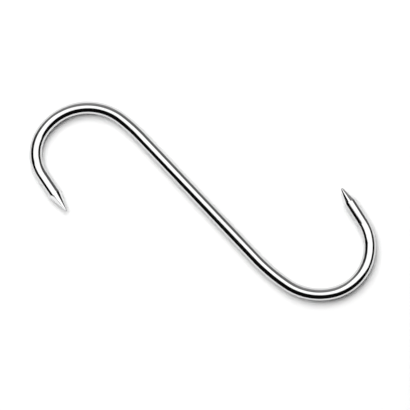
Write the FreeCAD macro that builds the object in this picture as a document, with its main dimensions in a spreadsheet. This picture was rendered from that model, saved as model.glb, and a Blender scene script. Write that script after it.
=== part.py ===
# A butcher's S-hook: one stainless rod, ground to a point at both ends and bent at both ends.
#
# It lies flat on the XY plane, +Z up. Its straight shank runs along Y. The upper bend, for the rail,
# is at +Y and opens towards -X. The lower bend, for the meat, is at -Y and opens towards +X.
# The origin is under the centre of the hook's bounding box, on the surface that it lies on.
# All sizes are in millimetres and degrees.
import FreeCAD, Part
import os
from math import cos, radians, sin, tan

import Sketcher

DRIVING_SIZES = {
    "rod_diameter": 6.0,
    "shank_length": 78.85,
    # Each bend, walking away from the shank: a slow start, a wide arc and a tighter arc.
    "upper_ease_radius": 80.0,
    "upper_ease_turn": 9.0,
    "upper_wide_radius": 26.0,
    "upper_wide_turn": 96.0,
    "upper_tight_radius": 18.0,
    "upper_tight_turn": 65.5,
    "upper_point_straight": 20.5,
    "lower_ease_radius": 90.0,
    "lower_ease_turn": 12.5,
    "lower_wide_radius": 28.0,
    "lower_wide_turn": 48.0,
    "lower_tight_radius": 22.5,
    "lower_tight_turn": 108.5,
    "lower_point_straight": 18.6,
    # Each point is ground with flats: their slope to the rod's axis, the width of metal left at
    # the very end, and how far the first flat is rolled round the rod from straight up, counted
    # towards the outside of the bend. The upper point has one more, narrow cut on its top inner
    # ridge, with the flats' own slope.
    "flat_count": 6.0,
    "upper_flat_slope": 15.2,
    "upper_end_width": 0.6,
    "upper_flat_roll": -13.0,
    "upper_bevel_roll": -35.0,
    "lower_flat_slope": 18.5,
    "lower_end_width": 1.0,
    "lower_flat_roll": 0.0,
}
ENDS = {"upper": 90.0, "lower": -90.0}  # each end, and the way that the shank runs towards it
ARCS = ("ease", "wide", "tight")
GRIND_CLEARANCE = 1.0  # how far the ground-away wedge stands out past the rod


def make_sizes(doc):
    """Keep the driving sizes in a spreadsheet, one named cell each."""
    sheet = doc.addObject("Spreadsheet::Sheet", "Sizes")
    for row, (name, value) in enumerate(DRIVING_SIZES.items(), start=1):
        sheet.set(f"A{row}", name)
        sheet.set(f"B{row}", str(value))
        sheet.setAlias(f"B{row}", name)
    doc.recompute()
    return sheet


def add_sketch(body, name, plane_role):
    """Add a sketch on one of the body's own origin planes."""
    sketch = body.newObject("Sketcher::SketchObject", name)
    plane = next(item for item in body.Origin.OriginFeatures if item.Role == plane_role)
    sketch.AttachmentSupport = (plane, [""])
    sketch.MapMode = "FlatFace"
    return sketch


def drive(sketch, name, expression, *constraint):
    """Add a named sketch dimension that follows an expression of the sheet's sizes."""
    index = sketch.addConstraint(Sketcher.Constraint(*constraint))
    sketch.renameConstraint(index, name)
    sketch.setExpression(f"Constraints.{name}", expression)


def measure(sketch, name, *constraint):
    """Add a named dimension that only reports where the sketch's geometry ends up."""
    index = sketch.addConstraint(Sketcher.Constraint(*constraint))
    sketch.setDriving(index, False)
    sketch.renameConstraint(index, name)


def draw_section(body, sheet):
    """The rod's round section, across the middle of the shank."""
    radius = sheet.rod_diameter / 2
    sketch = add_sketch(body, "rod_section", "XZ_Plane")
    circle = Part.Circle(FreeCAD.Vector(0, radius, 0), FreeCAD.Vector(0, 0, 1), radius)
    sketch.addGeometry(circle)
    sketch.addConstraint(Sketcher.Constraint("PointOnObject", 0, 3, -2))
    drive(sketch, "height", "Sizes.rod_diameter / 2", "DistanceY", -1, 1, 0, 3, radius)
    drive(sketch, "across", "Sizes.rod_diameter", "Diameter", 0, sheet.rod_diameter)
    return sketch


def draw_half_path(body, sheet, end, heading):
    """The rod's centre line from the middle of the shank out to one point: line, three arcs, line."""
    sketch = add_sketch(body, f"{end}_path", "XY_Plane")
    sketch.setExpression("AttachmentOffset.Base.z", "Sizes.rod_diameter / 2")
    half_shank = sheet.shank_length / 2
    ahead = FreeCAD.Vector(cos(radians(heading)), sin(radians(heading)), 0)
    here = ahead * half_shank
    sketch.addGeometry(Part.LineSegment(FreeCAD.Vector(), here))
    sketch.addConstraint(Sketcher.Constraint("Coincident", 0, 1, -1, 1))
    sketch.addConstraint(Sketcher.Constraint("Vertical", 0))
    drive(sketch, "half_shank", "Sizes.shank_length / 2", "Distance", 0, half_shank)
    for index, arc in enumerate(ARCS, start=1):
        radius = getattr(sheet, f"{end}_{arc}_radius")
        turn = getattr(sheet, f"{end}_{arc}_turn")
        left = FreeCAD.Vector(-ahead.y, ahead.x, 0)
        circle = Part.Circle(here + left * radius, FreeCAD.Vector(0, 0, 1), radius)
        bend = Part.ArcOfCircle(circle, radians(heading - 90), radians(heading - 90 + turn))
        sketch.addGeometry(bend)
        sketch.addConstraint(Sketcher.Constraint("Tangent", index - 1, 2, index, 1))
        drive(sketch, f"{arc}_radius", f"Sizes.{end}_{arc}_radius", "Radius", index, radius)
        drive(sketch, f"{arc}_turn", f"Sizes.{end}_{arc}_turn", "Angle", index, radians(turn))
        heading += turn
        ahead = FreeCAD.Vector(cos(radians(heading)), sin(radians(heading)), 0)
        here = bend.EndPoint
    last = len(ARCS) + 1
    straight = getattr(sheet, f"{end}_point_straight")
    sketch.addGeometry(Part.LineSegment(here, here + ahead * straight))
    sketch.addConstraint(Sketcher.Constraint("Tangent", last - 1, 2, last, 1))
    drive(sketch, "point_straight", f"Sizes.{end}_point_straight", "Distance", last, straight)
    measure(sketch, "point_x", "DistanceX", -1, 1, last, 2, (here + ahead * straight).x)
    measure(sketch, "point_y", "DistanceY", -1, 1, last, 2, (here + ahead * straight).y)
    return sketch


def sweep_half(body, section, path, end):
    """Sweep the round section along one half of the centre line."""
    pipe = body.newObject("PartDesign::AdditivePipe", f"{end}_rod")
    pipe.Profile = section
    pipe.Spine = (path, [f"Edge{number}" for number in range(1, len(ARCS) + 3)])
    return pipe


def draw_grind_wedge(body, sheet, end, heading, cut):
    """The wedge of metal that one cut grinds off, seen from the side of the point."""
    sketch = add_sketch(body, f"{end}_{cut}_profile", "XY_Plane")
    turns = " + ".join(f"Sizes.{end}_{arc}_turn" for arc in ARCS)
    point = f"{end}_path.Constraints"
    place = f"vector({point}.point_x; {point}.point_y; Sizes.rod_diameter / 2)"
    roll = f"rotation({heading} + {turns}; 0; 90 + Sizes.{end}_{cut}_roll)"
    sketch.setExpression("AttachmentOffset", f"placement({place}; {roll})")
    low = getattr(sheet, f"{end}_end_width") / 2
    slope = radians(getattr(sheet, f"{end}_flat_slope"))
    high = sheet.rod_diameter / 2 + GRIND_CLEARANCE
    end_corner = FreeCAD.Vector(0, low, 0)
    back_corner = FreeCAD.Vector(-(high - low) / tan(slope), high, 0)
    top_corner = FreeCAD.Vector(0, high, 0)
    corners = [end_corner, back_corner, top_corner]
    for number in range(3):
        sketch.addGeometry(Part.LineSegment(corners[number], corners[(number + 1) % 3]))
    for number in range(3):
        sketch.addConstraint(Sketcher.Constraint("Coincident", number, 2, (number + 1) % 3, 1))
    sketch.addConstraint(Sketcher.Constraint("PointOnObject", 0, 1, -2))
    sketch.addConstraint(Sketcher.Constraint("Horizontal", 1))
    sketch.addConstraint(Sketcher.Constraint("Vertical", 2))
    drive(sketch, "half_end_width", f"Sizes.{end}_end_width / 2", "DistanceY", -1, 1, 0, 1, low)
    drive(sketch, "height", f"Sizes.rod_diameter / 2 + {GRIND_CLEARANCE}", "DistanceY", -1, 1, 1, 2, high)
    drive(sketch, "slope", f"Sizes.{end}_flat_slope", "Angle", 0, 2, 1, 1, slope)
    return sketch


def grind_cut(body, sheet, end, heading, cut):
    """Grind one straight cut into the point."""
    ground = body.newObject("PartDesign::Pocket", f"{end}_{cut}")
    ground.Profile = draw_grind_wedge(body, sheet, end, heading, cut)
    ground.Midplane = True
    ground.setExpression("Length", "3 * Sizes.rod_diameter")
    return ground


def grind_point(body, sheet, end, heading):
    """Grind one flat into the point and repeat it round the rod."""
    flat = grind_cut(body, sheet, end, heading, "flat")
    flats = body.newObject("PartDesign::PolarPattern", f"{end}_flats")
    flats.Originals = [flat]
    flats.Axis = (flat.Profile[0], ["H_Axis"])
    flats.Angle = 360
    flats.setExpression("Occurrences", "Sizes.flat_count")
    return flats


def make_hook(doc, sheet):
    """The whole rod, bent and pointed, as one body."""
    body = doc.addObject("PartDesign::Body", "Hook")
    body.Label = "hook"
    section = draw_section(body, sheet)
    paths = {end: draw_half_path(body, sheet, end, heading) for end, heading in ENDS.items()}
    doc.recompute()
    volumes = []
    for end in ENDS:
        body.Tip = sweep_half(body, section, paths[end], end)
        doc.recompute()
        volumes.append(body.Shape.Volume)
    for end, heading in ENDS.items():
        body.Tip = grind_point(body, sheet, end, heading)
        doc.recompute()
        volumes.append(body.Shape.Volume)
    body.Tip = grind_cut(body, sheet, "upper", ENDS["upper"], "bevel")
    doc.recompute()
    volumes.append(body.Shape.Volume)
    print("volume after each sweep, ground point and bevel, mm3:", [round(volume, 1) for volume in volumes])
    if not volumes[0] < volumes[1] > volumes[2] > volumes[3] > volumes[4]:
        raise RuntimeError("a sweep or a ground cut changed nothing")
    box = body.Shape.optimalBoundingBox(False)
    body.Placement.Base = FreeCAD.Vector(-box.Center.x, -box.Center.y, -box.ZMin)
    return body


def check_and_export(doc, sub_parts):
    """Stop on any failed object, then write each sub-part to its STEP file."""
    doc.recompute()
    for item in doc.Objects:
        if {"Invalid", "Error"} & set(item.State):
            raise RuntimeError(f"{item.Name} failed: {item.State}")
    os.makedirs("parts", exist_ok=True)
    for sub_part in sub_parts:
        shape = sub_part.Shape
        if shape.isNull() or not shape.isValid() or len(shape.Solids) != 1:
            raise RuntimeError(f"{sub_part.Label} is not one valid solid")
        shape.exportStep(f"parts/{sub_part.Label}.step")
        box = shape.optimalBoundingBox(False)
        print(f"{sub_part.Label}: {box.XLength:.2f} x {box.YLength:.2f} x {box.ZLength:.2f} mm")


document = FreeCAD.newDocument("meat_hook")
sizes = make_sizes(document)
check_and_export(document, [make_hook(document, sizes)])
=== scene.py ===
# %% [markdown]
# # A butcher's S-hook
#
# This notebook builds one thing: a polished stainless meat hook, lying on a pale table. It is a single
# rod, cut to length, ground to a point at each end and then bent twice. So the lesson follows the
# maker's order: straight rod, ground points, two bends, and only then the polish and the light.
#
# The CAD model is the frame. It says how big the hook is and where it lies, and everything below is
# measured against it.

# %% Load the CAD frame
from math import cos, pi, radians, sin, tan

import bpy
from mathutils import Matrix, Vector


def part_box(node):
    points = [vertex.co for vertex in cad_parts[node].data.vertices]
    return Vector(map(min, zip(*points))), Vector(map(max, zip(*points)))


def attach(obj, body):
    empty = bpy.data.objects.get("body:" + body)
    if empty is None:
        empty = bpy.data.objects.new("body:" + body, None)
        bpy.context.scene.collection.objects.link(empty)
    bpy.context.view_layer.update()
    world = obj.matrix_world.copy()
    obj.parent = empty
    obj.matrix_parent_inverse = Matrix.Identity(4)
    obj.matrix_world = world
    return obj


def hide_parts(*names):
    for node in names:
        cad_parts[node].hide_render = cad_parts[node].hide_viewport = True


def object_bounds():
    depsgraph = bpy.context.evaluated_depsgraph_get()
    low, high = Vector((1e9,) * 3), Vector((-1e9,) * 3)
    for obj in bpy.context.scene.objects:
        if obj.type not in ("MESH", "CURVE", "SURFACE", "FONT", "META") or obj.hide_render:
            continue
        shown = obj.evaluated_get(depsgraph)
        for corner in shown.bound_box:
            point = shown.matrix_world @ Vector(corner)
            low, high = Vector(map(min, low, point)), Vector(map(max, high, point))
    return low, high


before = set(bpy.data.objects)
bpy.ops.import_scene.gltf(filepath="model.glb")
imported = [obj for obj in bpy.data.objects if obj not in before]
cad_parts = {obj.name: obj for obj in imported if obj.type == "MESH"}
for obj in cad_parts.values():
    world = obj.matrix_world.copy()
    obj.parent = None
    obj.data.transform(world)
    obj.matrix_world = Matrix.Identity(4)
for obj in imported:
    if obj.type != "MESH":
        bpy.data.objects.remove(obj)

CAD_NODE = "hook"
cad_low, cad_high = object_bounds()
rod_low, rod_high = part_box(CAD_NODE)
ROD_DIAMETER = rod_high.z - rod_low.z
ROD_RADIUS = ROD_DIAMETER / 2
cad_size = cad_high - cad_low
MM = 1000  # millimetres in a metre, for the printed sizes
print(f"the hook is {cad_size.x * MM:.1f} x {cad_size.y * MM:.1f} mm, of {ROD_DIAMETER * MM:.1f} mm rod")

# %% [markdown]
# ## The bender's card
#
# A wire bender works from a short card: how long each straight is, and the radius and the turn of each
# bend. The whole outline of the hook is on this card, so it could be changed in a minute. Each end
# leaves the shank in a slow bend, goes round in a wide one and closes in a tighter one, and the two
# ends differ a little, as hand-fed bends do. Lengths are in metres and turns in degrees.
#
# The same card says how each point is ground. Its last two entries are for a narrow extra bevel: how far
# it is rolled round the rod, and how high it stands compared with the flats. At 1 it is as deep as they
# are, and at 2 it never touches the steel, so the lower point has none.

# %% The card for the two ends
SHANK_LENGTH = 0.07885
UPPER_END = {
    "Ease Radius": 0.080, "Ease Turn": 9.0,
    "Wide Radius": 0.026, "Wide Turn": 96.0,
    "Tight Radius": 0.018, "Tight Turn": 65.5,
    "Point Straight": 0.0205,
    "Flat Slope": 15.2, "End Width": 0.0006, "Flat Roll": -13.0,
    "Ridge Dulling": 0.15, "Bevel Roll": -35.0, "Bevel Height": 1.0,
}
LOWER_END = {
    "Ease Radius": 0.090, "Ease Turn": 12.5,
    "Wide Radius": 0.028, "Wide Turn": 48.0,
    "Tight Radius": 0.0225, "Tight Turn": 108.5,
    "Point Straight": 0.0186,
    "Flat Slope": 18.5, "End Width": 0.0010, "Flat Roll": 0.0,
    "Ridge Dulling": 0.9, "Bevel Roll": 0.0, "Bevel Height": 2.0,
}
POINT_SIZES = ("Flat Slope", "End Width", "Flat Roll", "Ridge Dulling", "Bevel Roll", "Bevel Height")
BEND_SIZES = [label for label in UPPER_END if label not in POINT_SIZES]
FLAT_COUNT = 6


def is_angle(label):
    """Turns, slopes and rolls are in degrees on the card. The rest are lengths and plain ratios."""
    return label.split()[-1] in ("Turn", "Slope", "Roll")


def on_card(end):
    """An end's card as Blender wants it, with its angles in radians."""
    return {label: radians(value) if is_angle(label) else value for label, value in end.items()}


for name, end in {"upper": UPPER_END, "lower": LOWER_END}.items():
    turn = sum(value for label, value in end.items() if label.endswith("Turn"))
    print(f"the {name} end turns {turn:.1f} degrees in all")

# %% [markdown]
# ## A few helpers for node trees
#
# A node tree can be drawn by hand in the editor or written down in Python. Written down, it can be read,
# repeated and changed in one place. A few small helpers keep the writing short. They make a tree with
# named sockets, add a node and feed its inputs, and do one step of arithmetic on numbers or on vectors.
# Whatever goes into a step may be a plain number or the output of another node.

# %% Helpers for node trees
SOCKET_TYPES = {
    "float": "NodeSocketFloat", "vector": "NodeSocketVector", "geometry": "NodeSocketGeometry",
    "material": "NodeSocketMaterial", "color": "NodeSocketColor",
}


def new_tree(name, tree_type, inputs, outputs):
    """Make a node tree with named sockets. inputs maps a name to its type or to its starting number."""
    tree = bpy.data.node_groups.new(name, tree_type)
    for label, value in inputs.items():
        kind = value if isinstance(value, str) else "float"
        made = tree.interface.new_socket(name=label, in_out="INPUT", socket_type=SOCKET_TYPES[kind])
        if not isinstance(value, str):
            made.default_value = value
    for label, kind in outputs.items():
        tree.interface.new_socket(name=label, in_out="OUTPUT", socket_type=SOCKET_TYPES[kind])
    return tree, tree.nodes.new("NodeGroupInput").outputs, tree.nodes.new("NodeGroupOutput").inputs


def feed(tree, socket, value):
    """Put a number, a vector or another node's output into a socket."""
    if isinstance(value, bpy.types.NodeSocket):
        tree.links.new(value, socket)
    else:
        socket.default_value = value


def add(tree, node_type, settings=None, **values):
    """Add a node, set its options and feed its inputs. An input's spaces are written as underscores."""
    node = tree.nodes.new(node_type)
    for option, choice in (settings or {}).items():
        setattr(node, option, choice)
    for label, value in values.items():
        feed(tree, node.inputs[label.replace("_", " ")], value)
    return node


def number(tree, operation, *values):
    """One step of arithmetic on numbers."""
    node = add(tree, "ShaderNodeMath", {"operation": operation})
    for socket, value in zip(node.inputs, values):
        feed(tree, socket, value)
    return node.outputs[0]


def vector(tree, operation, *values):
    """One step of arithmetic on vectors. A dot product or a length comes out as a number."""
    node = add(tree, "ShaderNodeVectorMath", {"operation": operation})
    sockets = [node.inputs[0], node.inputs["Scale"]] if operation == "SCALE" else node.inputs
    for socket, value in zip(sockets, values):
        feed(tree, socket, value)
    return node.outputs["Value" if operation in ("DOT_PRODUCT", "LENGTH") else "Vector"]


def combine(tree, x=0.0, y=0.0, z=0.0):
    """Three numbers as one vector."""
    return add(tree, "ShaderNodeCombineXYZ", None, X=x, Y=y, Z=z).outputs[0]


def total(tree, values, sum_of=number):
    """Add up any number of values."""
    running = values[0]
    for value in values[1:]:
        running = sum_of(tree, "ADD", running, value)
    return running


def clamp(tree, value, low, high):
    """Keep a value between two others."""
    return number(tree, "MINIMUM", number(tree, "MAXIMUM", value, low), high)


print("helpers ready")

# %% [markdown]
# ## The rule for one bend
#
# A bender's machine doesn't know about outlines. It feeds the rod, and at a set place it turns it round
# a former. The tree does the same. For any point at a distance along the rod, a bend asks how much of
# its turn that point has been through: none before the bend begins, all of it past the bend's end, and a
# share in between. From that share come two things: how far the bend has carried the point sideways and
# forwards, and by how much it has turned it. All the bends' shares are simply added up.
#
# The same shape could be drawn as a curve and swept. The rule is used here because it bends a finished
# straight rod, ground points included, and keeps every mark on the rod where it was.

# %% Node groups: a round bend and a straight
def heading_vector(tree, angle):
    """The unit vector that points along an angle in the flat plane."""
    return combine(tree, number(tree, "COSINE", angle), number(tree, "SINE", angle))


def make_round_bend():
    """Node group: what one left-hand bend does to a point that lies some way along the rod."""
    inputs = {"Along": 0.0, "Begins": 0.0, "Heading": 0.0, "Radius": 0.02, "Turn": 1.0}
    outputs = {"Shift": "vector", "Turned": "float", "Ends": "float", "New Heading": "float"}
    tree, given, result = new_tree("Round Bend", "GeometryNodeTree", inputs, outputs)
    past = number(tree, "SUBTRACT", given["Along"], given["Begins"])
    turned = clamp(tree, number(tree, "DIVIDE", past, given["Radius"]), 0.0, given["Turn"])
    now = number(tree, "ADD", given["Heading"], turned)
    ahead_now, ahead_then = (heading_vector(tree, angle) for angle in (now, given["Heading"]))
    swung = vector(tree, "SUBTRACT", ahead_now, ahead_then)
    across = vector(tree, "CROSS_PRODUCT", swung, (0.0, 0.0, 1.0))
    feed(tree, result["Shift"], vector(tree, "SCALE", across, given["Radius"]))
    feed(tree, result["Turned"], turned)
    length = number(tree, "MULTIPLY", given["Radius"], given["Turn"])
    feed(tree, result["Ends"], number(tree, "ADD", given["Begins"], length))
    feed(tree, result["New Heading"], number(tree, "ADD", given["Heading"], given["Turn"]))
    return tree


def make_straight():
    """Node group: how far a straight stretch of rod carries a point."""
    inputs = {"Along": 0.0, "Begins": 0.0, "Heading": 0.0, "Length": 0.02}
    outputs = {"Shift": "vector", "Ends": "float"}
    tree, given, result = new_tree("Straight", "GeometryNodeTree", inputs, outputs)
    past = number(tree, "SUBTRACT", given["Along"], given["Begins"])
    run = clamp(tree, past, 0.0, given["Length"])
    feed(tree, result["Shift"], vector(tree, "SCALE", heading_vector(tree, given["Heading"]), run))
    feed(tree, result["Ends"], number(tree, "ADD", given["Begins"], given["Length"]))
    return tree


round_bend = make_round_bend()
straight = make_straight()
print("groups:", round_bend.name, "and", straight.name)

# %% [markdown]
# ## Half a hook
#
# Half the shank, three bends and the straight that carries the point make one half of the hook. The two
# halves follow the same rule with different numbers, so the half is a group of its own, placed twice.
# It also reports its length, because the rod has to be cut before it can be bent.

# %% Node group: half a hook
def use_group(tree, group, **values):
    """Place a node group inside another tree."""
    in_geometry = tree.bl_idname == "GeometryNodeTree"
    placed = tree.nodes.new("GeometryNodeGroup" if in_geometry else "ShaderNodeGroup")
    placed.node_tree = group
    for label, value in values.items():
        feed(tree, placed.inputs[label.replace("_", " ")], value)
    return placed.outputs


def make_half_hook():
    """Node group: everything that one half of the hook does to a point, walking out from mid-shank."""
    bends = ("Ease", "Wide", "Tight")
    inputs = {"Along": 0.0, "Heading": 0.0, "Half Shank": 0.04}
    inputs.update({f"{bend} {size}": 0.5 for bend in bends for size in ("Radius", "Turn")})
    inputs["Point Straight"] = 0.02
    outputs = {"Shift": "vector", "Turned": "float", "Length": "float"}
    tree, given, result = new_tree("Half Hook", "GeometryNodeTree", inputs, outputs)
    along, heading = given["Along"], given["Heading"]
    shank = use_group(tree, straight, Along=along, Heading=heading, Length=given["Half Shank"])
    shifts, turns, begins = [shank["Shift"]], [], shank["Ends"]
    for bend in bends:
        step = use_group(tree, round_bend, Along=along, Begins=begins, Heading=heading,
                         Radius=given[f"{bend} Radius"], Turn=given[f"{bend} Turn"])
        shifts.append(step["Shift"])
        turns.append(step["Turned"])
        begins, heading = step["Ends"], step["New Heading"]
    end = use_group(tree, straight, Along=along, Begins=begins, Heading=heading,
                    Length=given["Point Straight"])
    feed(tree, result["Shift"], total(tree, shifts + [end["Shift"]], vector))
    feed(tree, result["Turned"], total(tree, turns))
    feed(tree, result["Length"], end["Ends"])
    return tree


half_hook = make_half_hook()
print("half a hook has", len(half_hook.nodes), "nodes")

# %% [markdown]
# ## Grinding a point
#
# The points aren't turned on a lathe. The rod's end is held against a belt, and rolled a little between
# passes, so each point is a small pyramid of flats with a blunt end. A flat keeps only the metal below
# its own plane. In the group, every flat in turn pulls the rod's surface in to its plane wherever the
# surface stands out past it. A soft minimum leaves the ridges between the flats dulled, those of the
# lower point more than those of the upper, and the dulling narrows towards the end with the point.
#
# The upper point had one more, lighter touch on the belt, along the top ridge on the inside of its bend.
# That narrow bevel is ground exactly as a flat is, so the group treats it as one more.

# %% Node group: a ground point
GRIND_SOFTNESS = 0.00003  # how softly the ground metal meets the round rod
END_ROUNDING = 0.00035  # how much of the rod's length its rounded end takes up
END_SHARE = 0.3  # how much of the width is left at the very end, once it is rounded
LEAST_LEAN = 0.01  # keeps a direction that faces away from a flat from dividing by zero


def make_ground_point():
    """Node group: how far out the surface stands, in a given direction, near the end of the rod."""
    inputs = {"Direction": "vector", "From End": 0.0, "Rod Radius": 0.003, "Flat Slope": 0.3,
              "End Width": 0.001, "Flat Roll": 0.0, "Ridge Dulling": 0.5,
              "Bevel Roll": 0.0, "Bevel Height": 2.0}
    outputs = {"Stands Out": "float", "Ground": "float"}
    tree, given, result = new_tree("Ground Point", "GeometryNodeTree", inputs, outputs)
    rise = number(tree, "MULTIPLY", given["From End"], number(tree, "TANGENT", given["Flat Slope"]))
    half_width = number(tree, "MULTIPLY", given["End Width"], 0.5)
    plane = number(tree, "ADD", half_width, rise)
    dulling = number(tree, "MULTIPLY", plane, given["Ridge Dulling"])
    flats = [(number(tree, "ADD", given["Flat Roll"], flat * 2 * pi / FLAT_COUNT), plane)
             for flat in range(FLAT_COUNT)]
    bevel = (given["Bevel Roll"], number(tree, "MULTIPLY", plane, given["Bevel Height"]))
    ground_to = []
    for angle, height in flats + [bevel]:
        facing = combine(tree, number(tree, "SINE", angle), number(tree, "COSINE", angle))
        lean = number(tree, "MAXIMUM", vector(tree, "DOT_PRODUCT", given["Direction"], facing), LEAST_LEAN)
        ground_to.append(number(tree, "DIVIDE", height, lean))
    pyramid = ground_to[0]
    for other in ground_to[1:]:
        pyramid = number(tree, "SMOOTH_MIN", pyramid, other, dulling)
    standing = number(tree, "SMOOTH_MIN", given["Rod Radius"], pyramid, GRIND_SOFTNESS)
    ground_off = number(tree, "SUBTRACT", given["Rod Radius"], standing)
    ground_share = number(tree, "DIVIDE", ground_off, GRIND_SOFTNESS)
    feed(tree, result["Ground"], clamp(tree, ground_share, 0.0, 1.0))
    share = clamp(tree, number(tree, "DIVIDE", given["From End"], END_ROUNDING), 0.0, 1.0)
    left = number(tree, "SUBTRACT", 1.0, share)
    round_off = number(tree, "SQRT", number(tree, "SUBTRACT", 1.0, number(tree, "MULTIPLY", left, left)))
    kept = number(tree, "MAXIMUM", round_off, END_SHARE)
    feed(tree, result["Stands Out"], number(tree, "MULTIPLY", standing, kept))
    return tree


ground_point = make_ground_point()
print("a ground point has", FLAT_COUNT, "flats")

# %% [markdown]
# ## The whole hook as one tree
#
# The tree starts with a plain cylinder, one unit in radius and two long, and treats it as bar stock:
#
# 1. It spaces the rings, crowding them towards the two points, where the shape is finest.
# 2. It grinds both points on the straight rod.
# 3. It writes down where every point of the surface is on the straight rod. The polish and the grinding
#    marks are laid on that memory, so they go round the bends with the steel and have no seam.
# 4. It bends the rod, and lays it on the table.

# %% Geometry Nodes: cut, grind, bend
RING_COUNT = 900
SIDE_COUNT = 72
CAP_RINGS = 3
SHARP_EDGE = radians(14)
STRAIGHT_ROD = "straight_rod"
GROUND = "ground"


def end_inputs(given, end, labels):
    """Pick one end's sizes from the tree's own inputs."""
    return {label.replace(" ", "_"): given[f"{end} {label}"] for label in labels}


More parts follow.
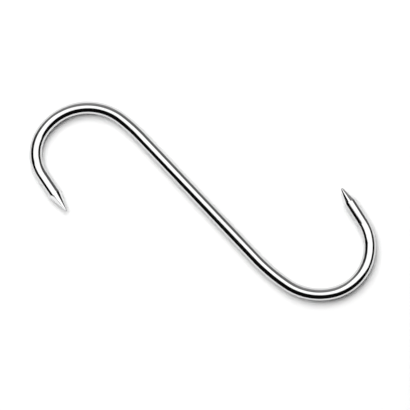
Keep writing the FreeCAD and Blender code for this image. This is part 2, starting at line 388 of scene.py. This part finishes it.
def make_hook_tree():
    """Geometry Nodes tree: the hook, from a bar to its two bends."""
    inputs = {"Geometry": "geometry", "Rod Diameter": 0.006, "Shank Length": 0.08}
    for end in ("Upper", "Lower"):
        inputs.update({f"{end} {label}": 0.1 for label in UPPER_END})
    inputs.update({"Rod Steel": "material", "Ground Steel": "material"})
    tree, given, result = new_tree("Bent Hook", "GeometryNodeTree", inputs, {"Geometry": "geometry"})
    radius = number(tree, "MULTIPLY", given["Rod Diameter"], 0.5)
    half_shank = number(tree, "MULTIPLY", given["Shank Length"], 0.5)

    bar = add(tree, "GeometryNodeMeshCylinder", {"fill_type": "TRIANGLE_FAN"})
    bar.inputs["Vertices"].default_value = SIDE_COUNT
    bar.inputs["Side Segments"].default_value = RING_COUNT
    bar.inputs["Fill Segments"].default_value = CAP_RINGS
    bar.inputs["Radius"].default_value = 1.0
    bar.inputs["Depth"].default_value = 2.0
    here = add(tree, "GeometryNodeInputPosition").outputs[0]
    split = add(tree, "ShaderNodeSeparateXYZ", None, Vector=here).outputs

    # The halves' lengths don't depend on where a point is, so they are asked for at mid-shank.
    halves = {
        end: use_group(tree, half_hook, Half_Shank=half_shank, **end_inputs(given, end, BEND_SIZES))
        for end in ("Upper", "Lower")
    }
    lengths = {end: half["Length"] for end, half in halves.items()}
    crowded = number(tree, "SINE", number(tree, "MULTIPLY", split["Z"], pi / 2))
    toward_upper = number(tree, "MAXIMUM", crowded, 0.0)
    toward_lower = number(tree, "MAXIMUM", number(tree, "MULTIPLY", crowded, -1.0), 0.0)
    reach = {"Upper": number(tree, "MULTIPLY", toward_upper, lengths["Upper"]),
             "Lower": number(tree, "MULTIPLY", toward_lower, lengths["Lower"])}
    along = number(tree, "SUBTRACT", reach["Upper"], reach["Lower"])

    flat_xy = combine(tree, split["X"], split["Y"])
    middle_share = vector(tree, "LENGTH", flat_xy)
    out = vector(tree, "NORMALIZE", flat_xy)
    # The upper point's flats are counted round the rod one way and the lower point's the other way.
    mirrored = vector(tree, "MULTIPLY", out, (-1.0, 1.0, 1.0))
    ground = {
        end: use_group(tree, ground_point, Direction=direction, Rod_Radius=radius,
                       From_End=number(tree, "SUBTRACT", lengths[end], reach[end]),
                       **end_inputs(given, end, POINT_SIZES))
        for end, direction in {"Upper": mirrored, "Lower": out}.items()
    }
    stands_out = number(tree, "MINIMUM", ground["Upper"]["Stands Out"], ground["Lower"]["Stands Out"])
    is_ground = number(tree, "MAXIMUM", ground["Upper"]["Ground"], ground["Lower"]["Ground"])
    section = vector(tree, "SCALE", out, number(tree, "MULTIPLY", middle_share, stands_out))
    on_bar = vector(tree, "ADD", section, combine(tree, 0.0, 0.0, along))

    memory = add(tree, "GeometryNodeStoreNamedAttribute",
                 {"data_type": "FLOAT_VECTOR", "domain": "POINT"},
                 Geometry=bar.outputs["Mesh"], Name=STRAIGHT_ROD, Value=on_bar)
    mask = add(tree, "GeometryNodeStoreNamedAttribute", {"data_type": "FLOAT", "domain": "POINT"},
               Geometry=memory.outputs[0], Name=GROUND, Value=is_ground)

    held = add(tree, "GeometryNodeInputNamedAttribute", {"data_type": "FLOAT_VECTOR"}, Name=STRAIGHT_ROD)
    on_rod = add(tree, "ShaderNodeSeparateXYZ", None, Vector=held.outputs["Attribute"]).outputs
    upper_along = number(tree, "MAXIMUM", on_rod["Z"], 0.0)
    lower_along = number(tree, "MAXIMUM", number(tree, "MULTIPLY", on_rod["Z"], -1.0), 0.0)
    upper = use_group(tree, half_hook, Along=upper_along, Heading=pi / 2, Half_Shank=half_shank,
                      **end_inputs(given, "Upper", BEND_SIZES))
    lower = use_group(tree, half_hook, Along=lower_along, Heading=-pi / 2, Half_Shank=half_shank,
                      **end_inputs(given, "Lower", BEND_SIZES))
    line = vector(tree, "ADD", upper["Shift"], lower["Shift"])
    heading = total(tree, [upper["Turned"], lower["Turned"], pi / 2])
    left = vector(tree, "CROSS_PRODUCT", (0.0, 0.0, 1.0), heading_vector(tree, heading))
    sideways = vector(tree, "SCALE", left, on_rod["X"])
    upright = combine(tree, 0.0, 0.0, number(tree, "ADD", on_rod["Y"], radius))
    bent = add(tree, "GeometryNodeSetPosition", None, Geometry=mask.outputs[0],
               Position=total(tree, [line, sideways, upright], vector))

    fold = add(tree, "GeometryNodeInputMeshEdgeAngle").outputs["Unsigned Angle"]
    soft = add(tree, "FunctionNodeCompare", {"operation": "LESS_THAN"}, A=fold, B=SHARP_EDGE).outputs[0]
    smooth = add(tree, "GeometryNodeSetShadeSmooth", {"domain": "FACE"}, Geometry=bent.outputs[0])
    edges = add(tree, "GeometryNodeSetShadeSmooth", {"domain": "EDGE"}, Geometry=smooth.outputs[0],
                Shade_Smooth=soft)
    whole = add(tree, "GeometryNodeRealizeInstances", None, Geometry=edges.outputs[0])
    polished = add(tree, "GeometryNodeSetMaterial", None, Geometry=whole.outputs[0],
                   Material=given["Rod Steel"])
    was_ground = add(tree, "GeometryNodeInputNamedAttribute", {"data_type": "FLOAT"}, Name=GROUND)
    mostly = add(tree, "FunctionNodeCompare", {"operation": "GREATER_THAN"},
                 A=was_ground.outputs["Attribute"], B=0.5).outputs[0]
    finished = add(tree, "GeometryNodeSetMaterial", None, Geometry=polished.outputs[0], Selection=mostly,
                   Material=given["Ground Steel"])
    feed(tree, result["Geometry"], finished.outputs[0])
    return tree


hook_tree = make_hook_tree()
print("the hook's tree has", len(hook_tree.nodes), "nodes")

# %% [markdown]
# ## What polished steel really looks like
#
# Bright steel has hardly any colour of its own. What the eye reads is the room, bent round the rod.
# Still, a perfect mirror looks false, and a real hook has three layers of small faults:
#
# - fine parallel lines, left by the die along the rod and by the belt across the ground flats;
# - smudges and hairline scratches from handling, and a slow waviness where the polish took off more;
# - on the flats, a slightly rougher and paler surface, because they were cut last.
#
# The first two layers are on both finishes, so each is a node group of its own. A group only works out
# heights and masks. The shader itself stays in each material, where it can be seen and tuned.

# %% Shader groups: fine lines and handling marks
DEEP_LINES = (0.58, 0.72)  # each mask eases in between two values of its noise
SMUDGES = (0.45, 0.70)
SCRATCHES = (0.70, 0.76)
SMUDGE_SIZE = (0.007, 0.007, 0.013)
SCRATCH_SIZE = (0.00006, 0.0012, 0.0012)
WAVE_SIZE = (0.006, 0.006, 0.016)
SCRATCH_TURN = (radians(20), radians(50), radians(15))


def noise(tree, place, detail):
    """A smooth random value, round about 0.5, one lump to each unit of the place that it is given."""
    settings = {"noise_dimensions": "3D"}
    return add(tree, "ShaderNodeTexNoise", settings, Vector=place, Scale=1.0, Detail=detail).outputs[0]


def ramp(tree, value, low, high):
    """A mask that eases from 0 to 1 between two values."""
    settings = {"interpolation_type": "SMOOTHSTEP"}
    return add(tree, "ShaderNodeMapRange", settings, Value=value, From_Min=low, From_Max=high).outputs[0]


def make_fine_lines():
    """Node group: fine parallel lines. Line Size says how wide and how long they are, in metres."""
    inputs = {"Rod Place": "vector", "Line Size": "vector"}
    outputs = {"Height": "float", "Deep Lines": "float"}
    tree, given, result = new_tree("Fine Lines", "ShaderNodeTree", inputs, outputs)
    height = noise(tree, vector(tree, "DIVIDE", given["Rod Place"], given["Line Size"]), 3.0)
    feed(tree, result["Height"], height)
    feed(tree, result["Deep Lines"], ramp(tree, height, *DEEP_LINES))
    return tree


def make_handling_marks():
    """Node group: smudges, hairline scratches, and the slow waviness of a hand-held polish."""
    outputs = {"Smudges": "float", "Scratches": "float", "Waviness": "float"}
    tree, given, result = new_tree("Handling Marks", "ShaderNodeTree", {"Rod Place": "vector"}, outputs)
    place = given["Rod Place"]
    clouds = noise(tree, vector(tree, "DIVIDE", place, SMUDGE_SIZE), 4.0)
    feed(tree, result["Smudges"], ramp(tree, clouds, *SMUDGES))
    slanting = add(tree, "ShaderNodeVectorRotate", {"rotation_type": "EULER_XYZ"},
                   Vector=place, Rotation=SCRATCH_TURN)
    hairs = noise(tree, vector(tree, "DIVIDE", slanting.outputs[0], SCRATCH_SIZE), 1.0)
    feed(tree, result["Scratches"], ramp(tree, hairs, *SCRATCHES))
    feed(tree, result["Waviness"], noise(tree, vector(tree, "DIVIDE", place, WAVE_SIZE), 0.0))
    return tree


fine_lines = make_fine_lines()
handling_marks = make_handling_marks()
print("shared effects:", fine_lines.name, "and", handling_marks.name)

# %% [markdown]
# ## Two finishes from the same groups
#
# Both finishes are bare metal, so Metallic is simply 1 on the shader. They differ in the numbers that
# they give to the groups. On the rod the lines are long and run along it, and the surface is almost a
# mirror. On the flats they are short and run across, the steel is a little paler, and the reflection is
# a little softer. Heights are true heights in metres, so a scratch a thousandth of a millimetre deep is
# written as just that.

# %% Materials: the polished rod and the ground flats
LINE_DEPTH = 0.0000004
SCRATCH_DEPTH = 0.000001
WAVE_HEIGHT = 0.00003
DULLED_BY = {"Smudges": 0.035, "Deep Lines": 0.02, "Scratches": 0.04}


def make_steel(name, grey, roughness, line_size, wave_height):
    """Bare steel: a grey, a base roughness, and the size of the fine lines on it."""
    material = bpy.data.materials.new(name)
    material.use_nodes = True
    tree = material.node_tree
    shader = tree.nodes["Principled BSDF"]
    shader.inputs["Metallic"].default_value = 1.0
    place = add(tree, "ShaderNodeAttribute", {"attribute_name": STRAIGHT_ROD}).outputs["Vector"]
    lines = use_group(tree, fine_lines, Rod_Place=place, Line_Size=line_size)
    marks = use_group(tree, handling_marks, Rod_Place=place)

    dulled = total(tree, [number(tree, "MULTIPLY", marks["Smudges"], DULLED_BY["Smudges"]),
                          number(tree, "MULTIPLY", lines["Deep Lines"], DULLED_BY["Deep Lines"]),
                          number(tree, "MULTIPLY", marks["Scratches"], DULLED_BY["Scratches"])])
    shade = number(tree, "SUBTRACT", grey, dulled)
    feed(tree, shader.inputs["Base Color"], combine(tree, shade, shade, shade))
    feed(tree, shader.inputs["Roughness"], number(tree, "ADD", dulled, roughness))

    height = total(tree, [number(tree, "MULTIPLY", lines["Height"], LINE_DEPTH),
                          number(tree, "MULTIPLY", marks["Scratches"], -SCRATCH_DEPTH),
                          number(tree, "MULTIPLY", marks["Waviness"], wave_height)])
    bump = add(tree, "ShaderNodeBump", None, Strength=1.0, Distance=1.0, Height=height)
    feed(tree, shader.inputs["Normal"], bump.outputs["Normal"])
    return material


rod_steel = make_steel("polished_rod", 0.68, 0.07, (0.0001, 0.0001, 0.02), WAVE_HEIGHT)
ground_steel = make_steel("ground_flats", 0.8, 0.10, (0.002, 0.002, 0.0001), WAVE_HEIGHT / 5)
print("finishes:", rod_steel.name, "and", ground_steel.name)

# %% [markdown]
# ## From tree to mesh
#
# A Geometry Nodes tree is a recipe. To get a plain mesh out of it, it is put on an empty object as a
# modifier, given its numbers, run once, and its result is kept. The mesh is then slid so that it lies
# where the CAD hook lies, and measured against it. Crosswise the two are lined up by their shanks and
# not by their widths, because the very ends of the points are rounded here and square in the CAD. The
# hook should come out a few thousandths of a millimetre smaller, as the polish takes that much off.

# %% Bend the rod
POLISHED_OFF = 0.000002


def set_inputs(modifier, values):
    """Set a Geometry Nodes modifier's inputs by their sockets' identifiers."""
    for item in modifier.node_group.interface.items_tree:
        if item.in_out == "INPUT" and item.name in values:
            modifier[item.identifier] = values[item.name]


def bend_rod():
    """Run the tree once and keep the result as a plain mesh."""
    bar = bpy.data.objects.new("bar_stock", bpy.data.meshes.new("bar_stock"))
    bpy.context.scene.collection.objects.link(bar)
    modifier = bar.modifiers.new("bend", "NODES")
    modifier.node_group = hook_tree
    values = {"Rod Diameter": ROD_DIAMETER - 2 * POLISHED_OFF, "Shank Length": SHANK_LENGTH,
              "Rod Steel": rod_steel, "Ground Steel": ground_steel}
    for name, end in {"Upper": UPPER_END, "Lower": LOWER_END}.items():
        values.update({f"{name} {label}": value for label, value in on_card(end).items()})
    set_inputs(modifier, values)
    bpy.context.view_layer.update()
    evaluated = bar.evaluated_get(bpy.context.evaluated_depsgraph_get())
    mesh = bpy.data.meshes.new_from_object(evaluated)
    bpy.data.objects.remove(bar)
    hook = bpy.data.objects.new("bent_rod", mesh)
    bpy.context.scene.collection.objects.link(hook)
    return hook


def shank_middle(mesh):
    """Where the shank's axis is along X: halfway between its two sides, near the Y axis."""
    places = [corner.co for corner in mesh.vertices if abs(corner.co.x) < ROD_DIAMETER]
    sides = [place.x for place in places if abs(place.y) < SHANK_LENGTH / 2]
    return (min(sides) + max(sides)) / 2


bent_rod = bend_rod()
corners = [Vector(corner) for corner in bent_rod.bound_box]
made_low, made_high = corners[0], corners[6]
slide = (cad_low + cad_high - made_low - made_high) / 2
slide.x = shank_middle(bpy.data.objects[CAD_NODE].data) - shank_middle(bent_rod.data)
slide.z = cad_low.z - made_low.z
print(f"the shank lies {slide.x * MM:.3f} mm along X")
bent_rod.data.transform(Matrix.Translation(slide))
print(len(bent_rod.data.polygons), "faces")
print("made", [round(side * MM, 3) for side in made_high - made_low], "mm")
print("CAD ", [round(side * MM, 3) for side in cad_size], "mm")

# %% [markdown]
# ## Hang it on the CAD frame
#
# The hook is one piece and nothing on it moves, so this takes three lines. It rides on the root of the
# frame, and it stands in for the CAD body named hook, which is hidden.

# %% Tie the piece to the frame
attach(bent_rod, "root")
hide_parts(CAD_NODE)
print(bent_rod.name, "replaces", CAD_NODE)

# %% [markdown]
# ## The table
#
# The hook lies on a plain white table. A real one isn't perfectly even, so its white drifts by a
# hundredth or so and its surface has a faint tooth. It is much wider than the hook: the lower half of
# the rod mirrors it, out to the horizon.

# %% The table
TABLE_WIDTH = 12.0
TABLE_WHITE = 0.70
TABLE_DRIFT = 0.01
TABLE_TOOTH = 0.00001
TABLE_SHINE = 0.1
TABLE_ROUGHNESS = 0.85
TOOTH_ROUGHNESS = 0.1
CLOUDS_PER_METRE = 6.0
TOOTH_PER_METRE = 900.0


def make_table_paint():
    """White, matt and very slightly uneven."""
    material = bpy.data.materials.new("white_table")
    material.use_nodes = True
    tree = material.node_tree
    shader = tree.nodes["Principled BSDF"]
    shader.inputs["Specular IOR Level"].default_value = TABLE_SHINE
    place = add(tree, "ShaderNodeTexCoord").outputs["Object"]
    clouds = noise(tree, vector(tree, "SCALE", place, CLOUDS_PER_METRE), 2.0)
    white = number(tree, "MULTIPLY_ADD", clouds, TABLE_DRIFT, TABLE_WHITE)
    feed(tree, shader.inputs["Base Color"], combine(tree, white, white, white))
    tooth = noise(tree, vector(tree, "SCALE", place, TOOTH_PER_METRE), 2.0)
    roughness = number(tree, "MULTIPLY_ADD", tooth, TOOTH_ROUGHNESS, TABLE_ROUGHNESS)
    feed(tree, shader.inputs["Roughness"], roughness)
    height = number(tree, "MULTIPLY", tooth, TABLE_TOOTH)
    bump = add(tree, "ShaderNodeBump", None, Strength=1.0, Distance=1.0, Height=height)
    feed(tree, shader.inputs["Normal"], bump.outputs["Normal"])
    return material


def make_table():
    """One flat square, with its top at the height that the hook lies on."""
    half = TABLE_WIDTH / 2
    mesh = bpy.data.meshes.new("table")
    corners = [(-half, -half, 0), (half, -half, 0), (half, half, 0), (-half, half, 0)]
    mesh.from_pydata(corners, [], [(0, 1, 2, 3)])
    mesh.materials.append(make_table_paint())
    table = bpy.data.objects.new("table", mesh)
    bpy.context.scene.collection.objects.link(table)
    return table


table = make_table()
print("the table is", TABLE_WIDTH, "m wide")

# %% [markdown]
# ## The camera
#
# A catalogue shot of something flat is taken from straight above, with a long lens from well back, so
# that nothing near the edges leans. The camera is turned about its own axis instead of the hook, because
# the hook has to stay square to its frame.

# %% The camera
VIEW_WIDTH = 0.19457
VIEW_CENTRE = (-0.00159, -0.00188)
CAMERA_TURN = radians(-43.35)
LENS = 300.0
SENSOR = 36.0

camera_data = bpy.data.cameras.new("camera")
camera_data.lens = LENS
camera_data.sensor_width = SENSOR
camera_data.clip_start = 0.01
camera = bpy.data.objects.new("camera", camera_data)
camera.location = (*VIEW_CENTRE, ROD_RADIUS + VIEW_WIDTH * LENS / SENSOR)
camera.rotation_euler = (0.0, 0.0, CAMERA_TURN)
bpy.context.scene.collection.objects.link(camera)
bpy.context.scene.camera = camera
print(f"the camera looks straight down from {camera.location.z:.2f} m")

# %% [markdown]
# ## The light
#
# Steel shows the lamps themselves, so they are set out by what the rod should mirror:
#
# - a wide softbox overhead gives the long white band, and its edges end that band;
# - a small card, low on the left, carries the white band round to the two points;
# - a stronger key lamp, beyond the hook on the left, lights the table and throws the soft shadows.
#
# A studio tunes a reflection and a shadow apart, with screens between lamp, object and table. Here each
# lamp is simply told which of the two jobs it does: the steel mirrors only the softbox and the card,
# and the table is lit only by the key lamp.
#
# Lamps are placed in lamp heights. One lamp height sideways is a lamp seen at 45 degrees, so the numbers
# don't change if the whole rig is raised.

# %% The lamps
LAMP_HEIGHT = 2.5
BOX_GLOW = 1.5
KEY_GLOW = 7.7
right = Vector((cos(CAMERA_TURN), sin(CAMERA_TURN), 0.0))
away = Vector((-sin(CAMERA_TURN), cos(CAMERA_TURN), 0.0))


def hang_lamp(name, glow, centre, half_size, turn):
    """Hang a flat lamp over the table. Its centre says how far to the view's right and how far up."""
    lamp = bpy.data.lights.new(name, "AREA")
    lamp.shape = "RECTANGLE"
    lamp.size, lamp.size_y = (2 * half * LAMP_HEIGHT for half in half_size)
    lamp.energy = glow * pi * lamp.size * lamp.size_y
    hung = bpy.data.objects.new(name, lamp)
    hung.location = (right * centre[0] + away * centre[1] + Vector((0, 0, 1))) * LAMP_HEIGHT
    hung.rotation_euler = (0.0, 0.0, CAMERA_TURN + turn)
    bpy.context.scene.collection.objects.link(hung)
    print(f"{name}: {lamp.size:.2f} x {lamp.size_y:.2f} m")
    return hung


def hang_by_edges(name, glow, edges, turn):
    """Hang a lamp by its left, right, near and far edges, each in degrees from straight overhead."""
    left, right_side, near, far = (tan(radians(edge)) for edge in edges)
    across, along = (left + right_side) / 2, (near + far) / 2
    centre = (across * cos(turn) - along * sin(turn), across * sin(turn) + along * cos(turn))
    half_size = ((right_side - left) / 2, (far - near) / 2)
    return hang_lamp(name, glow, centre, half_size, turn)


softbox = hang_by_edges("softbox", BOX_GLOW, edges=(-40, 48, -13, 32), turn=radians(-12.4))
side_card = hang_lamp("side_card", BOX_GLOW, centre=(-0.478, -0.172), half_size=(0.42, 0.16),
                      turn=radians(28))
key_lamp = hang_lamp("key_lamp", KEY_GLOW, centre=(-0.319, 0.655), half_size=(0.605, 0.642),
                     turn=radians(-21.5))
for mirrored in (softbox, side_card):
    mirrored.visible_diffuse = False
key_lamp.visible_glossy = False

# %% [markdown]
# ## The room
#
# Beyond the lamps the studio is dark, and that gives the rod its crisp black lines. Only the wall on the
# far side catches some light, so the line on that side is grey. The camera itself is given plain white
# wherever it looks past the table, so that no side of the hook is seen against a black room. The
# Standard view shows colours as they are, so the white table comes out white.

# %% The room
WALL_WAY = (0.686, 0.727, 0.0)
WALL_GREY = 0.36
WALL_FALLOFF = 1.5
ROOM_GREY = 0.004

world = bpy.data.worlds.new("studio")
bpy.context.scene.world = world
world.use_nodes = True
tree = world.node_tree
way = add(tree, "ShaderNodeTexCoord").outputs["Generated"]
towards_wall = number(tree, "MAXIMUM", vector(tree, "DOT_PRODUCT", way, WALL_WAY), 0.0)
wall = number(tree, "MULTIPLY", number(tree, "POWER", towards_wall, WALL_FALLOFF), WALL_GREY)
room = number(tree, "ADD", wall, ROOM_GREY)
seen_by_camera = add(tree, "ShaderNodeLightPath").outputs["Is Camera Ray"]
shade = number(tree, "MAXIMUM", room, seen_by_camera)
feed(tree, tree.nodes["Background"].inputs["Color"], combine(tree, shade, shade, shade))
bpy.context.scene.view_settings.view_transform = "Standard"
print("the room is", ROOM_GREY, "and its far wall", WALL_GREY)
